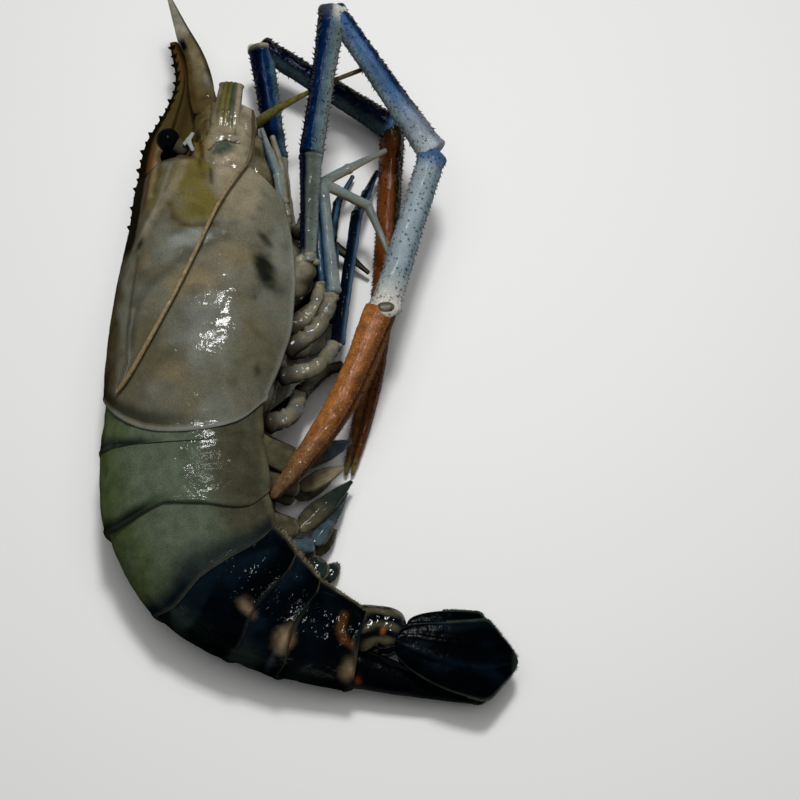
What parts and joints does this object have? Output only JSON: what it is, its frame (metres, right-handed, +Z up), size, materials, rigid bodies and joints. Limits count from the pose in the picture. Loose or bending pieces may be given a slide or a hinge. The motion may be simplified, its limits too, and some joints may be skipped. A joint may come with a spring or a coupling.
{
  "type": "raw giant river prawn",
  "caption": "Whole raw river prawn lying on its side, with a smooth thorax shell, a toothed rostrum, a curled ringed tail, a tail fan, legs and long folded blue claws.",
  "frame": {"origin": "middle of the box round the lying prawn, on the surface that it lies on", "axes": "+Y towards the head, -X the back, +X the legs and claws, +Z up through the right flank"},
  "size_m": [0.117, 0.214, 0.0451],
  "materials": {
    "shell": "wet translucent shell, warm grey with olive and brown patches",
    "ring_olive": "wet shell, olive grey with a dark band at each joint",
    "ring_navy": "wet shell, blue black with greenish streaks",
    "fin": "wet fin blade, nearly black, with a thin pale rim",
    "arm_navy": "horny shell, deep blue below and pale blue grey above",
    "arm_pale": "horny shell, pale blue grey with small dark spines",
    "claw": "horny claw, orange brown with a fine downy edge",
    "leg": "thin leg shell, blue grey",
    "flesh": "soft wet skin, greyish beige",
    "eye": "polished black",
    "feeler": "horny thread, brown"
  },
  "bodies": {
    "root": {"carapace": "shell", "thorax_underside": "flesh", "somite_1": "ring_olive", "somite_2": "ring_olive", "somite_3": "ring_olive", "somite_4": "ring_navy", "somite_5": "ring_navy", "somite_6": "ring_navy", "telson": "ring_navy", "uropod_right_base": "ring_navy", "uropod_right_inner": "fin", "uropod_right_outer": "fin", "eye_right": "eye", "antenna_base_right": "flesh", "antennal_scale_right": "flesh", "antennule_right": "flesh", "antenna_right": "feeler", "arm_right_base": "flesh", "arm_right_ischium": "leg", "arm_right_merus": "arm_navy", "arm_right_carpus": "arm_navy", "arm_right_palm": "arm_pale", "arm_right_finger": "claw", "leg_1_right_upper": "leg", "leg_1_right_lower": "leg", "leg_3_right_upper": "leg", "leg_3_right_lower": "leg", "leg_4_right_upper": "leg", "leg_4_right_lower": "leg", "leg_5_right_upper": "leg", "leg_5_right_lower": "leg", "maxilliped_right": "flesh", "uropod_left_base": "ring_navy", "uropod_left_inner": "fin", "uropod_left_outer": "fin", "eye_left": "eye", "antenna_base_left": "flesh", "antennal_scale_left": "flesh", "antennule_left": "flesh", "antenna_left": "feeler", "arm_left_base": "flesh", "arm_left_ischium": "leg", "arm_left_merus": "arm_navy", "arm_left_carpus": "arm_navy", "arm_left_palm": "arm_pale", "arm_left_finger": "claw", "leg_1_left_upper": "leg", "leg_1_left_lower": "leg", "leg_3_left_upper": "leg", "leg_3_left_lower": "leg", "leg_4_left_upper": "leg", "leg_4_left_lower": "leg", "leg_5_left_upper": "leg", "leg_5_left_lower": "leg", "maxilliped_left": "flesh", "swimmeret_1": "flesh", "swimmeret_2": "flesh", "swimmeret_3": "flesh", "swimmeret_4": "flesh", "swimmeret_5": "flesh"}
  },
  "joints": []
}
